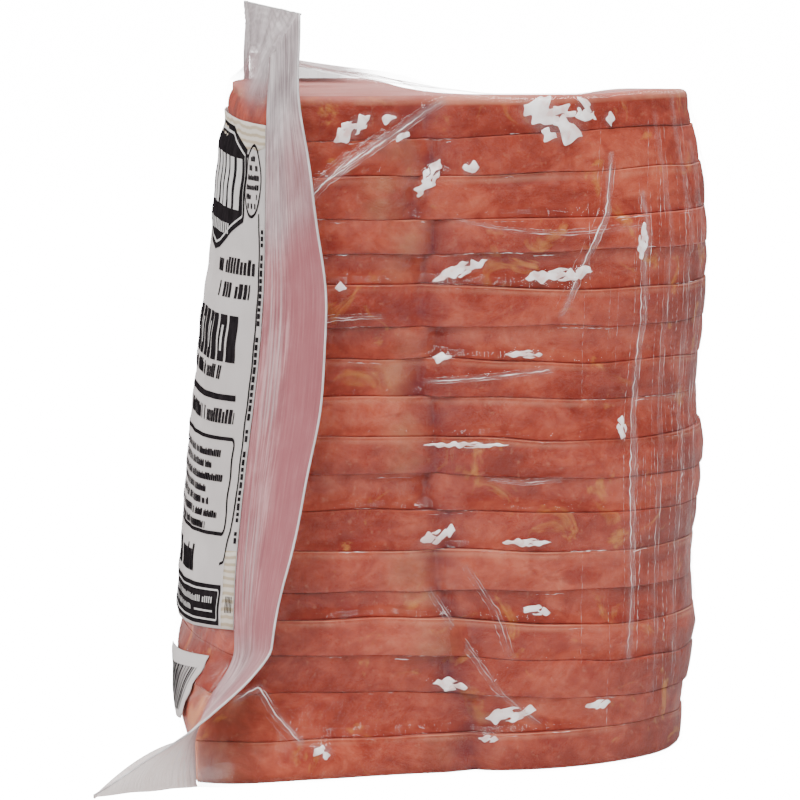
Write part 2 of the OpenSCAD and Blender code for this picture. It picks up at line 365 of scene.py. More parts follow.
# ---------------------------------------------------------------- materials
class Nodes:
    """A short way to write a node material."""

    def __init__(self, name):
        self.material = bpy.data.materials.new(name)
        self.material.use_nodes = True
        self.tree = self.material.node_tree
        self.tree.nodes.clear()
        self.out = self.add("ShaderNodeOutputMaterial")

    def add(self, kind, **values):
        node = self.tree.nodes.new(kind)
        for key, value in values.items():
            setattr(node, key, value)
        return node

    def put(self, socket, value):
        if isinstance(value, bpy.types.NodeSocket):
            self.tree.links.new(value, socket)
        elif value is not None:
            socket.default_value = value

    def position(self):
        return self.add("ShaderNodeTexCoord").outputs["Object"]

    def attribute(self, name, vector=False):
        node = self.add("ShaderNodeAttribute", attribute_name=name)
        return node.outputs["Vector" if vector else "Fac"]

    def scaled(self, vector, scale):
        node = self.add("ShaderNodeMapping")
        self.put(node.inputs["Vector"], vector)
        self.put(node.inputs["Scale"], scale)
        return node.outputs["Vector"]

    def noise(self, vector, scale, detail=3.0, rough=0.5, distortion=0.0):
        node = self.add("ShaderNodeTexNoise")
        inputs = ("Vector", "Scale", "Detail", "Roughness", "Distortion")
        for key, value in zip(inputs, (vector, scale, detail, rough, distortion)):
            self.put(node.inputs[key], value)
        return node.outputs["Fac"]

    def ramp(self, factor, stops):
        node = self.add("ShaderNodeValToRGB")
        while len(node.color_ramp.elements) < len(stops):
            node.color_ramp.elements.new(0.5)
        for element, (at, colour) in zip(node.color_ramp.elements, stops):
            element.position = at
            element.color = (*colour, 1) if isinstance(colour, tuple) else (colour, colour, colour, 1)
        self.put(node.inputs["Fac"], factor)
        return node.outputs["Color"]

    def math(self, operation, a, b=None, clamp=False):
        node = self.add("ShaderNodeMath", operation=operation, use_clamp=clamp)
        self.put(node.inputs[0], a)
        self.put(node.inputs[1], b)
        return node.outputs[0]

    def times(self, a, b):
        return self.math("MULTIPLY", a, b)

    def plus(self, a, b, clamp=False):
        return self.math("ADD", a, b, clamp)

    def less(self, a, b, clamp=False):
        return self.math("SUBTRACT", a, b, clamp)

    def mix(self, factor, a, b, blend="MIX"):
        node = self.add("ShaderNodeMix", data_type="RGBA", blend_type=blend)
        self.put(node.inputs["Factor"], factor)
        self.put(node.inputs[6], (*a, 1) if isinstance(a, tuple) else a)
        self.put(node.inputs[7], (*b, 1) if isinstance(b, tuple) else b)
        return node.outputs[2]

    def bump(self, height, strength, distance, normal=None):
        node = self.add("ShaderNodeBump")
        self.put(node.inputs["Height"], height)
        self.put(node.inputs["Strength"], strength)
        self.put(node.inputs["Distance"], distance)
        self.put(node.inputs["Normal"], normal)
        return node.outputs["Normal"]

    def principled(self, **values):
        node = self.add("ShaderNodeBsdfPrincipled")
        for key, value in values.items():
            self.put(node.inputs[key.replace("_", " ")], value)
        return node.outputs["BSDF"]

    def clear(self):
        return self.add("ShaderNodeBsdfTransparent").outputs[0]

    def shader_mix(self, factor, a, b):
        node = self.add("ShaderNodeMixShader")
        for socket, value in zip(node.inputs, (factor, a, b)):
            self.put(socket, value)
        return node.outputs[0]

    def done(self, shader):
        self.put(self.out.inputs["Surface"], shader)
        return self.material


def ham_material():
    n = Nodes("ham")
    at = n.position()
    flat, taller = n.scaled(at, (1, 1, 1.7)), n.scaled(at, (1, 1, 1.2))
    broad = n.noise(flat, 55, 3, 0.55, 0.5)
    patchy = n.noise(flat, 150, 5, 0.68, 0.9)
    fine = n.noise(taller, 420, 4, 0.65, 0.4)
    mixed = n.plus(n.times(broad, 0.40), n.times(fine, 0.24))
    mixed = n.plus(mixed, n.times(patchy, 0.36))
    # each slice's own tone, and painted shade that darkens the front and the back of the stack
    mixed = n.plus(mixed, n.times(n.attribute("tone_and_painted_light"), 0.030), clamp=True)
    meat = n.ramp(
        mixed,
        [
            (0.38, (0.25, 0.029, 0.016)),
            (0.46, (0.36, 0.049, 0.027)),
            (0.51, (0.45, 0.071, 0.039)),
            (0.57, (0.55, 0.103, 0.056)),
            (0.65, (0.66, 0.155, 0.085)),
        ],
    )
    red = n.ramp(n.noise(flat, 95, 3, 0.6, 1.2), [(0.60, 0.0), (0.70, 0.7)])
    meat = n.mix(red, meat, (0.30, 0.030, 0.018))
    speck = n.noise(at, 1100, 2, 0.7)
    meat = n.mix(n.ramp(speck, [(0.60, 0.0), (0.74, 0.28)]), meat, (0.66, 0.24, 0.14))
    fat = n.noise(taller, 120, 4, 0.65, 1.0)
    meat = n.mix(n.ramp(fat, [(0.60, 0.0), (0.70, 0.7)]), meat, (0.68, 0.25, 0.06))
    # the marks that make_slice leaves on the points
    tan = n.times(n.attribute("pale"), n.ramp(n.noise(flat, 130, 3, 0.6), [(0.38, 0.1), (0.6, 0.7)]))
    meat = n.mix(tan, meat, (0.62, 0.27, 0.14))
    # the dent between the muscles in dark purple: partly the tissue's own colour, partly painted shade in
    # the dent
    purple = n.ramp(n.noise(flat, 170, 4, 0.6), [(0.35, 0.25), (0.6, 1.0)])
    purple = n.times(n.attribute("seam"), purple)
    meat = n.mix(n.times(purple, 0.95), meat, (0.19, 0.040, 0.048))
    along = n.noise(n.scaled(at, (1, 1, 0.2)), 90, 4, 0.6)
    shade = n.times(n.attribute("shade"), n.ramp(along, [(0.44, 0.0), (0.64, 0.9)]))
    meat = n.mix(n.times(shade, 0.6), meat, (0.20, 0.032, 0.026))
    light = n.times(n.attribute("light"), n.ramp(along, [(0.42, 0.2), (0.60, 0.85)]))
    meat = n.mix(light, meat, (0.78, 0.33, 0.20))
    # the flat faces' own pinker colour, set brighter as painted light where the hazy roof shades the top
    # face
    face = n.ramp(n.noise(at, 60, 4, 0.6), [(0.35, (0.58, 0.19, 0.16)), (0.65, (0.78, 0.37, 0.33))])
    meat = n.mix(n.attribute("face"), meat, face)
    bumps = n.bump(fine, 0.45, 0.0003, n.bump(patchy, 0.35, 0.0008))
    shader = n.principled(
        Base_Color=meat,
        Roughness=n.ramp(n.noise(at, 150, 3), [(0.3, 0.40), (0.7, 0.60)]),
        Subsurface_Weight=0.08,
        Subsurface_Radius=(1.0, 0.32, 0.2),
        Subsurface_Scale=0.0012,
        Specular_IOR_Level=0.12,
        Normal=bumps,
    )
    return n.done(shader)


def film_material(name, haze_high, colour, rough):
    """Clear stretched film: fresnel gloss over a slight milky haze that is stronger on creases."""
    n = Nodes(name)
    st = n.attribute("st", vector=True)
    lines = n.noise(n.scaled(st, (1.0, 0.06, 1)), 1.6, 4, 0.6, 0.2)
    cloud = n.noise(st, 0.16, 5, 0.62, 0.5)
    both = n.plus(n.times(lines, 0.55), n.times(cloud, 0.45))
    haze = n.plus(n.ramp(both, [(0.46, 0.0), (0.66, haze_high)]), n.attribute("crease"), clamp=True)
    loose = n.noise(n.scaled(st, (1, 0.5, 1)), 0.9, 4, 0.6, 0.4)
    bumps = n.bump(n.plus(n.times(lines, 0.6), n.times(loose, 0.7)), 0.8, 0.0004)
    gloss, fresnel = n.add("ShaderNodeBsdfGlossy"), n.add("ShaderNodeFresnel")
    n.put(gloss.inputs["Roughness"], rough)
    n.put(gloss.inputs["Color"], (1, 1, 1, 1))
    n.put(gloss.inputs["Normal"], bumps)
    n.put(fresnel.inputs["IOR"], 1.42)
    n.put(fresnel.inputs["Normal"], bumps)
    milky = n.principled(Base_Color=(*colour, 1), Roughness=0.35, Specular_IOR_Level=0.2, Normal=bumps)
    body = n.shader_mix(haze, n.clear(), milky)
    most_gloss = 0.042
    return n.done(n.shader_mix(n.math("MINIMUM", fresnel.outputs[0], most_gloss), body, gloss.outputs[0]))


def glint_material(name, low, high, glow):
    """Raised film that catches the light."""
    n = Nodes(name)
    tone_and_painted_light = n.noise(n.position(), 420, 3, 0.6)
    shader = n.principled(
        Base_Color=n.ramp(tone_and_painted_light, [(0.4, low), (0.6, high)]),
        Roughness=0.2,
        Emission_Color=(1, 0.96, 0.95, 1),
        Emission_Strength=n.ramp(tone_and_painted_light, [(0.38, 0.25 * glow), (0.62, glow)]),
    )
    return n.done(shader)


def rim_material():
    """Welded film: pale at the top, pink over the ham's side, milky at the foot with a painted glow,
    thin over the lid.
    """
    n = Nodes("rim")
    st = n.attribute("st", vector=True)
    top, milk_and_glow, thin, rib = (n.attribute(key) for key in ("top", "milk_and_glow", "thin", "rib"))
    streaks = n.noise(n.scaled(st, (1.0, 0.035, 1)), 2.6, 5, 0.65, 0.15)
    cloud = n.noise(st, 0.12, 4, 0.6, 0.3)
    both = n.plus(n.times(streaks, 0.6), n.times(cloud, 0.4))
    pale = [(0.40, (0.34, 0.26, 0.27)), (0.5, (0.56, 0.47, 0.48)), (0.60, (0.82, 0.74, 0.74))]
    pink = [(0.40, (0.36, 0.100, 0.115)), (0.5, (0.45, 0.145, 0.158)), (0.60, (0.60, 0.27, 0.28))]
    white = [(0.36, (0.66, 0.56, 0.54)), (0.48, (0.90, 0.82, 0.79)), (0.66, (0.96, 0.92, 0.89))]
    paleness = n.less(top, n.times(thin, 0.7), clamp=True)
    colour = n.mix(paleness, n.ramp(both, pink), n.ramp(both, pale))
    colour = n.mix(n.times(n.attribute("plain"), 0.85), colour, (0.42, 0.135, 0.150))
    colour = n.mix(milk_and_glow, colour, n.ramp(both, white))
    colour = n.mix(n.times(rib, 0.55), colour, (0.82, 0.74, 0.74))
    height = n.times(streaks, n.plus(n.times(top, 0.8), 0.25))
    solid = n.plus(n.times(both, 0.35), n.plus(n.times(top, 0.06), 0.74), clamp=True)
    solid = n.times(solid, n.less(1.0, n.times(thin, 0.95)))
    shell = n.principled(
        Base_Color=colour,
        Roughness=0.38,
        Specular_IOR_Level=0.12,
        Normal=n.bump(n.plus(height, n.times(rib, 0.5)), 0.7, 0.0005),
        # painted light: the milky foot glows as if lit through from behind
        Emission_Color=(1, 0.86, 0.82, 1),
        Emission_Strength=n.times(milk_and_glow, 0.5),
    )
    return n.done(n.shader_mix(solid, n.clear(), shell))


# painted highlight: the cut edge's near-white colour stands in for the light it catches
def bead_material():
    n = Nodes("cut_edge")
    colour = n.ramp(n.noise(n.position(), 300, 3), [(0.35, (0.70, 0.62, 0.62)), (0.65, (0.93, 0.90, 0.90))])
    return n.done(n.principled(Base_Color=colour, Roughness=0.25))


def paper_material():
    n = Nodes("label")
    at = n.position()
    tone_and_painted_light = n.noise(at, 35, 4, 0.6)
    colour = n.ramp(tone_and_painted_light, [(0.35, (0.55, 0.50, 0.485)), (0.65, (0.64, 0.59, 0.575))])
    bumps = n.bump(n.noise(at, 120, 4, 0.6), 0.5, 0.0004)
    return n.done(n.principled(Base_Color=colour, Roughness=0.5, Specular_IOR_Level=0.0, Normal=bumps))


def grain_material():
    n = Nodes("wood_grain_print")
    bent = n.add("ShaderNodeTexWave", wave_type="BANDS", bands_direction="Y", wave_profile="SIN")
    n.put(bent.inputs["Vector"], n.attribute("st", vector=True))
    for key, value in {"Scale": 0.32, "Distortion": 5.5, "Detail": 2.5, "Detail Scale": 0.35}.items():
        n.put(bent.inputs[key], value)
    browns = [(0.25, (0.50, 0.40, 0.29)), (0.42, (0.63, 0.55, 0.44)), (0.75, (0.68, 0.61, 0.53))]
    colour = n.ramp(bent.outputs["Fac"], browns)
    return n.done(n.principled(Base_Color=colour, Roughness=0.5, Specular_IOR_Level=0.0))


def ink_material(name, dark, light):
    n = Nodes(name)
    colour = n.ramp(n.noise(n.position(), 500, 3), [(0.35, dark), (0.65, light)])
    return n.done(n.principled(Base_Color=colour, Roughness=0.55, Specular_IOR_Level=0.0))


# how much brighter the floor and the world are for camera rays, for the photo's plain white
SHOWN = 16.0


def floor_material():
    n = Nodes("floor")
    colour = n.ramp(n.noise(n.position(), 3, 2), [(0.3, (0.60, 0.60, 0.60)), (0.7, (0.63, 0.63, 0.63))])
    bright, both = n.add("ShaderNodeEmission"), n.add("ShaderNodeAddShader")
    camera_ray = n.add("ShaderNodeLightPath").outputs["Is Camera Ray"]
    n.put(bright.inputs["Strength"], n.times(camera_ray, SHOWN))
    n.put(both.inputs[0], n.principled(Base_Color=colour, Roughness=0.9, Specular_IOR_Level=0.0))
    n.put(both.inputs[1], bright.outputs[0])
    return n.done(both.outputs[0])


HAM = ham_material()
FILM = film_material("pocket_film", 0.016, (0.80, 0.66, 0.66), 0.06)
LID = film_material("lid_film", 0.025, (0.80, 0.70, 0.70), 0.08)
# painted highlights on the film: pale flecks that glow, and faint pink lines along its ridges
GLINT = glint_material("film_glint", (0.88, 0.64, 0.60), (0.97, 0.93, 0.92), 0.6)
RIDGE = glint_material("film_ridge", (0.56, 0.27, 0.24), (0.84, 0.60, 0.57), 0.05)
RIM = rim_material()
BEAD = bead_material()
PAPER = paper_material()
GRAIN = grain_material()
INK = ink_material("ink", (0.012, 0.010, 0.011), (0.022, 0.018, 0.020))
PALE_INK = ink_material("pale_ink", (0.55, 0.52, 0.51), (0.66, 0.63, 0.62))

# ---------------------------------------------------------------- slices
dense = np.linspace(0, 2 * math.pi, 2881)
run = run_of(np.stack(outline(dense, 40.0), -1))
AROUND = 360
ANGLES = np.interp(np.linspace(0, run[-1], AROUND, endpoint=False), run, dense)


def make_slice(i):
    """Rows from the middle of the top face, over the side, to the middle of the lower face. The marks
    on the points steer the ham's colour: the dent between the muscles, partly painted shade, shaded
    and lit edges, how far it is a face, partly painted light on the top face, each slice's shift in
    colour with painted shade towards the front and towards the back, and the pale fat beside
    the dent."""
    z_mid = MIDDLES[i]
    x0, y0 = outline(ANGLES, z_mid)
    lowest, topmost = i == 0, i == COUNT - 1
    top_r, low_r = TOP_R if topmost else EDGE_R, 0.9 if lowest else EDGE_R
    right = x0 > 20
    off = y0 - seam_y(i, z_mid)
    # the dent's dark purple mark, partly painted shade in the dent
    seam = np.where(right, 0.55 * bell(off / 3.6) + 0.45 * np.exp(-np.abs(off) / 0.7), 0)
    pale = np.where(right, bell((off + 3.4) / 2.4), 0) * (0.5 + 0.5 * math.sin(i * 5.1))
    # painted shade: darker towards the front and towards the back, over each slice's own tone
    tone_and_painted_light = 1.2 * math.sin(i * 2.9) - 3.0 * smooth((-y0 - 26) / 5) - 2.0 * smooth((y0 - 22) / 8)
    lit_corner = 0.9 * smooth((-y0 - 25) / 8) * right * smooth((12 - z_mid) / 8)
    # a slice that stands out has a lit upper edge, and one that is overhung has a shaded one
    above = 0 if topmost else PROUD[i + 1] - PROUD[i]
    below = 0 if lowest else PROUD[i - 1] - PROUD[i]
    rows, marks = [], {key: [] for key in ("seam", "shade", "light", "face", "tone_and_painted_light", "pale")}

    def add(pull, z, share, face, v, shade=0.0, light=0.0):
        height = z_mid + (0.5 - v) * SLICE_T
        x, y = outline(ANGLES, height, side_grow(i, x0, y0, height) - pull)
        rows.append(xyz(x * share, y * share, z(x * share, y * share)))
        side = 1 - face
        values = (seam * side, shade, np.maximum(light, lit_corner), face, tone_and_painted_light, pale * side)
        for row, value in zip(marks.values(), values):
            row.append(np.broadcast_to(value, AROUND))

    top = lambda x, y: cut_z(i + 1, x, y) - 0.02
    low = lambda x, y: cut_z(i, x, y) + 0.02
    for share in (0.0, 0.25, 0.5, 0.7, 0.85, 0.94):
        add(top_r, top, share, 1, 0.0)
    for turn in np.radians([0, 30, 55, 75, 90]):
        drop, bend = top_r * (1 - math.cos(turn)), 1 - math.sin(turn)
        face, shade, light = 0.3 * math.cos(turn), 0, 0.6
        if not topmost:
            face, shade = 0, min(1, (0.55 + max(0, above)) * bend)
            light = min(1, 1.5 * max(0, -above)) * math.sin(turn) ** 2 * (turn < 1.5)
        add(top_r * bend, lambda x, y: top(x, y) - drop, 1.0, face, 0.02, shade, light)
    for v in (0.08, 0.2, 0.35, 0.5, 0.65, 0.8, 0.92):
        side_z = lambda x, y: lerp(top(x, y) - top_r, low(x, y) + low_r, v)
        light = 0.35 * (v < 0.1) * (above < -0.2)
        add(-0.12 * math.sin(v * math.pi), side_z, 1.0, 0, v, light=light)
    for turn in np.radians([90, 75, 55, 30, 0]):
        rise, bend = low_r * (1 - math.cos(turn)), 1 - math.sin(turn)
        shade = 0 if lowest else min(1, (0.5 + max(0, below) + 0.4 * max(0, -below)) * bend**0.7)
        add(low_r * bend, lambda x, y: low(x, y) + rise, 1.0, 0, 0.98, shade)
    for share in (0.94, 0.85, 0.7, 0.5, 0.25, 0.0):
        add(low_r, low, share, 1, 1.0)
    faces = [grid_faces(len(rows), AROUND, loop=True, flip=True)]
    marks = {key: np.array(values) for key, values in marks.items()}
    name = f"slice_{i + 1:02d}"
    new_object(f"ham_{name}", rows, faces, HAM, [name], marks)


for i in range(COUNT):
    make_slice(i)

# ---------------------------------------------------------------- pocket film
COLS, WALL_ROWS = 400, 216


def pocket_ring(z):
    """The even wall at one height, right weld to left weld: rows of x, y and how closely it follows the
    ham, and the length along it."""
    contact = math.radians(12)
    a = np.linspace(-contact, math.pi + contact, 900)
    x, y = outline(a, z, 0.0)
    t = np.linspace(0, 1, 60)[:-1]

    def free(side, end):
        weld_x = side_x(z) - 0.1 if side > 0 else 0.1 - ROOT_X
        return np.stack([lerp(weld_x, x[end], t), lerp(root_y(z, side), y[end], t), smooth(t * 1.4)])

    right, left = free(1.0, 0), free(-1.0, -1)
    right[0] += 1.1 * np.sin(math.pi * t) * (1 - smooth(z / 12))
    ring = np.concatenate([right, np.stack([x, y, np.ones_like(x)]), left[:, ::-1]], 1)
    length = run_of(ring[:2].T)
    at = np.linspace(0, length[-1], COLS)
    return np.array([np.interp(at, length, row) for row in ring]), at


def fold(y, z, path, width, lift=0.0):
    """A ridge along a path of (y, z) points: its height up to about 1, and how strong a crease it is."""
    total, crease = np.zeros(y.shape), np.zeros(y.shape)
    for (y0, z0), (y1, z1) in zip(path[:-1], path[1:]):
        d = np.array([y1 - y0, z1 - z0])
        n = np.linalg.norm(d)
        d = d / n
        t = np.clip((y - y0) * d[0] + (z - z0) * d[1], 0, n)
        dy, dz = y - y0 - t * d[0], z - z0 - t * d[1]
        far = np.hypot(dy, dz)
        total = np.maximum(total, bell(far / width) * (1 + lift * np.tanh((dz * d[0] - dy * d[1]) / width)))
        crease = np.maximum(crease, bell(far / (0.35 * width + 0.12)))
    return total, crease


# the folds on the right side: (front to back, up) points, width, height and how sharp
FOLDS = [
    ([(-22, 74), (-13, 80), (-4, 86)], 0.9, 0.55, 1.0),
    ([(-19, 76.2), (-11.5, 81.6)], 0.5, 0.35, 1.0),
    ([(-23, 71), (-20, 75), (-16, 79)], 0.4, 0.25, 0.8),
    ([(18, 79), (17.2, 72), (14.5, 66), (11.3, 59)], 0.45, 0.35, 0.9),
    ([(22, 74), (22, 58), (20.8, 46), (20.6, 38), (21, 22), (20.4, 14)], 0.5, 0.4, 0.75),
    ([(25, 84), (25.5, 66), (24.8, 50), (24.4, 30), (24.4, 8)], 0.4, 0.22, 0.4),
    ([(28, 86), (28.5, 66), (27.8, 46), (27.4, 26), (27.2, 8)], 0.4, 0.25, 0.45),
    ([(30.2, 80), (30.4, 60), (29.6, 40), (29.5, 20)], 0.35, 0.22, 0.4),
    ([(-5.5, 24), (-1, 17), (3.5, 10.5), (8.5, 6.5)], 0.45, 0.35, 0.6),
    ([(-1, 27), (3, 21), (5, 15)], 0.4, 0.25, 0.4),
    ([(-30.5, 10.5), (-27.5, 12.2), (-25.4, 8.6), (-22.4, 5.2)], 0.6, 0.5, 1.0),
    ([(-20.5, 4.4), (-19, 4.2)], 0.7, 0.4, 1.0),
    ([(-6, 50.5), (2, 51), (10, 51.8)], 0.35, 0.25, 0.8),
    ([(2, 38), (6, 37.4), (11, 37.8)], 0.35, 0.25, 0.7),
    ([(-24, 57.5), (-18, 58.8), (-12, 59)], 0.3, 0.18, 0.5),
    ([(-2, 71), (5, 69.6), (12, 69.2), (22, 70)], 0.3, 0.2, 0.4),
]
# the loose patches of film there, painted with bright flecks as highlights: middle, half sizes,
# turn in degrees and how strong
PATCHES = [
    ((10, 83.5), (4.6, 2.2), -25, 1.0), ((14.6, 84.6), (1.3, 1.6), 0, 0.9),
    ((-15.5, 82.6), (3.0, 1.0), 38, 1.0), ((-10.8, 83.9), (1.1, 0.8), 0, 1.0),
    ((-9.0, 81.6), (0.8, 0.7), 0, 0.9), ((-5.6, 76.3), (0.8, 3.0), -28, 1.0),
    ((-0.4, 77.6), (1.1, 0.9), 0, 1.0), ((18, 83.5), (0.7, 0.9), 0, 0.9),
    ((-1.6, 64.6), (3.8, 0.8), 22, 0.85), ((11, 63.8), (4.6, 0.8), 6, 0.85),
    ((14.2, 64.4), (0.9, 0.8), 0, 1.0), ((-17.0, 62.6), (0.7, 0.6), 0, 0.8),
    ((-4, 53.6), (1.2, 0.7), 0, 0.8), ((6.5, 53.8), (2.6, 0.45), 0, 0.85),
    ((-5.0, 30.6), (2.2, 0.8), 12, 1.0), ((-2.8, 31.4), (0.7, 0.7), 0, 1.0),
    ((7, 29.8), (3.2, 0.45), 0, 0.6), ((8.2, 21), (2.0, 0.6), -10, 0.8),
    ((-2.8, 11.6), (2.4, 0.7), -6, 1.0), ((4.8, 7.6), (3.6, 0.9), 10, 0.75),
    ((16.5, 8.4), (1.8, 0.6), 8, 0.8), ((-19.6, 3.9), (1.3, 0.7), -20, 1.0),
    ((2, 4.6), (1.4, 0.5), 0, 0.8), ((19.5, 44), (0.6, 1.6), 0, 0.6),
    ((-1, 42.4), (6.0, 0.35), 0, 0.5), ((22.2, 68), (0.6, 2.4), 0, 0.6),
    ((-21.5, 51.5), (0.6, 2.0), 0, 0.4),
]


def film_marks(x, y, z, s):
    """Height and crease of the pocket wall; s is the length round it."""
    lift, crease = np.zeros(y.shape), np.zeros(y.shape)
    right = x > 10

    def mark(where, height, sharp):
        nonlocal lift, crease
        lift = lift + np.where(where, height, 0)
        crease = np.maximum(crease, np.where(where, sharp, 0))

    for path, width, height, sharp in FOLDS:
        h, c = fold(y, z, path, width, 0.4)
        mark(right, height * h, 0.28 * sharp * c)
    for _, path, width in side_folds():  # the other sides have folds of the same kind
        h, c = fold(s, z, path, width, 0.4)
        mark(~right, 0.6 * width * h, 0.2 * c)
    for (py, pz), (ry, rz), turn, strong in PATCHES:
        cos, sin = math.cos(math.radians(turn)), math.sin(math.radians(turn))
        a, b = (y - py) * cos + (z - pz) * sin, (z - pz) * cos - (y - py) * sin
        near = strong * smooth(1.4 - (a / ry) ** 2 - (b / rz) ** 2)
        mark(right, 0.22 * near, 0.12 * near)
    return lift + 0.07 * waves(9, s, z * 0.12, n=10, low=0.25, high=0.7), crease


def side_folds():
    """Folds on the back and the left side, as (strength, path of (way round, up), width)."""
    r = np.random.default_rng(5)
    for _ in range(40):
        s0, z0 = r.uniform(80, 200), r.uniform(4, 84)
        long, tilt = r.uniform(4, 24), r.choice([0.0, 0.2, 1.3, 1.5, 1.65])
        s1, z1 = s0 + long * math.cos(tilt), np.clip(z0 + long * math.sin(tilt), 3, 86)
        middle = ((s0 + s1) / 2 + r.uniform(-1, 1), (z0 + z1) / 2)
        yield r.uniform(0.4, 1.0), [(s0, z0), middle, (s1, z1)], r.uniform(0.3, 0.6)


def under_z(y):
    """The pocket's underside, above the tucked rim at the front."""
    return 0.03 + 0.32 * smooth((-y - 17) / 3) + sole_z(y)


def ham_lift(x, y, z):
    """How far the film stands out from the even outline: the ham's side, bridged and softened."""
    ladder = np.arange(-2, 96, 0.25)
    even_x, even_y = resample(ladder, z, x), resample(ladder, z, y)
    up = ladder[:, None]
    grow = ham_grow(even_x, even_y, up)
    ends = ((0, up < 3, 3.0), (COUNT - 1, up > TOP - 3, TOP - 3))
    for i, beyond, height in ends:
        grow = np.where(beyond, np.maximum(grow, side_grow(i, even_x, even_y, height)), grow)
    wide = np.max([np.roll(grow, k, 0) for k in range(-3, 4)], 0)
    kernel = bell(np.arange(-6, 7) / 2.6)
    kernel /= kernel.sum()
    soft = sum(w * np.roll(wide, k - 6, 0) for k, w in enumerate(kernel))
    return resample(z, ladder, np.maximum(soft * 0.75 + 0.25 * wide, grow) + 0.27)


def roof_and_floor(top, low):
    """Rows from the wall's ends to the middle of the weld, over the top slice and under the pack."""
    roof, floor = [], []
    for f in (0.99, 0.97, 0.94, 0.9, 0.85, 0.8, 0.74, 0.68, 0.6, 0.52, 0.44, 0.35, 0.26, 0.17, 0.08, 0.0):
        x, y = top[:, 0] * f, lerp(WELD_BACK / 2 - RIM_FRONT, top[:, 1], f)
        near = np.clip((0.5 - y) / (RIM_FRONT + 0.5), 0, 1)
        ridges = np.abs(waves(21, x, y * 0.5, n=6, low=0.03, high=0.10)) * 0.9 * near * (1 - near)
        small = 0.12 * waves(22, x, y, n=8, low=0.08, high=0.3) * (1 - f**8)
        roof.append(xyz(x, y, lerp(tent_z(x, y) - 0.1, top[:, 2], f**14) + np.abs(small) - ridges))
        y = lerp(-RIM_FRONT, low[:, 1], f)
        floor.append(xyz(low[:, 0] * f, y, under_z(y)))
    return np.array(roof), np.array(floor[::-1])


def pocket_haze(x, y, z, crease, roof):
    """How milky the wall and the roof are."""
    above = smooth((z - TOP + np.where(x < 0, 3, 1.5)) / 1.6) * smooth((-3 - y) / 8)
    corner = smooth((-y - 30) / 6) * smooth((9 - z) / 8) * smooth((x - 20) / 12)
    wall = np.maximum(np.maximum(crease, above * np.where(x < 0, 0.9, 0.12)), 0.36 * corner)
    rx, ry = roof[..., 0], roof[..., 1]
    loose = smooth((-ry - 6) / 7)
    folds = 0.5 + 0.5 * waves(24, rx * 0.5, ry, n=6, low=0.04, high=0.12)
    return wall, 0.11 + loose * (0.1 + 0.72 * smooth((-12 - rx) / 12)) + 0.12 * loose * folds


def make_pocket():
    """The film round the ham. Returns the wall, the length round it and its directions outwards."""
    (base_x, base_y, _), length = pocket_ring(45.0)
    roof_edge = tent_z(base_x, base_y) - 0.1
    even = np.linspace(0.014, 0.982, WALL_ROWS - 7)
    share = np.concatenate([[0, 0.0035, 0.008], even, [0.988, 0.993, 0.997, 1.0]])
    z = lerp(under_z(base_y)[None, :], roof_edge[None, :], share[:, None])
    rings = [pocket_ring(float(np.median(row))) for row in z]
    x, y, follow = np.array([ring for ring, _ in rings]).transpose(1, 0, 2)
    marks, crease = film_marks(x, y, z, np.array([at for _, at in rings]))
    out = ham_lift(x, y, z) * follow + marks * np.minimum(1, follow + 0.1)
    for high in (z / 0.9, (roof_edge[None, :] - z) / 1.2):  # rounded into the floor and the roof
        out = out - 1.1 * (1 - np.sqrt(1 - (1 - np.clip(high, 0, 1)) ** 2))
    dx, dy = np.gradient(x, axis=1), np.gradient(y, axis=1)
    outward = xyz(dy, -dx, 0) / np.hypot(dx, dy)[..., None]
    wall = xyz(x, y, z) + outward * out[..., None]
    roof, floor = roof_and_floor(wall[-1], wall[0])
    grid = np.concatenate([floor, wall, roof])
    up = np.cumsum(np.r_[0, np.linalg.norm(np.diff(grid, axis=0), axis=2).mean(1)])
    haze = np.concatenate([0 * floor[..., 0], *pocket_haze(x, y, z, crease, roof)])
    marks = {"st": xyz(length, up[:, None], 0), "crease": haze}
    new_object("pocket_film", grid, [grid_faces(len(grid), COLS)], FILM, ["forming_film"], marks)
    return wall, length, outward


WALL, LENGTH, OUTWARD = make_pocket()


# ---------------------------------------------------------------- sharp ridges and bright spots on the film
def on_wall(grid, col, row):
    c, r = np.clip(col, 0, grid.shape[1] - 1.001), np.clip(row, 0, grid.shape[0] - 1.001)
    i, j = r.astype(int), c.astype(int)
    u, v = (r - i)[:, None], (c - j)[:, None]
    low, high = lerp(grid[i, j], grid[i, j + 1], v), lerp(grid[i + 1, j], grid[i + 1, j + 1], v)
    return lerp(low, high, u)


MID_ROW = 120
RIGHT = int(np.argmax(WALL[MID_ROW, :, 1] > 32))  # where the right side ends


def rows_at(z, cols):
    return np.array([np.interp(h, WALL[:, c, 2], np.arange(len(WALL))) for h, c in zip(z, cols)])


def find(y, z):
    """Grid place of a point (front to back, up) on the right side."""
    col = np.interp(y, WALL[MID_ROW, :RIGHT, 1], np.arange(RIGHT))
    for _ in range(3):
        row = rows_at(z, np.clip(np.round(col), 0, RIGHT).astype(int))
        col = col + (y - on_wall(WALL, col, row)[:, 1]) / 0.5
    return col, row


def find_round(s, z):
    """Grid place of a point (way round, up)."""
    col = np.interp(s, LENGTH, np.arange(COLS))
    return col, rows_at(z, np.round(col).astype(int))


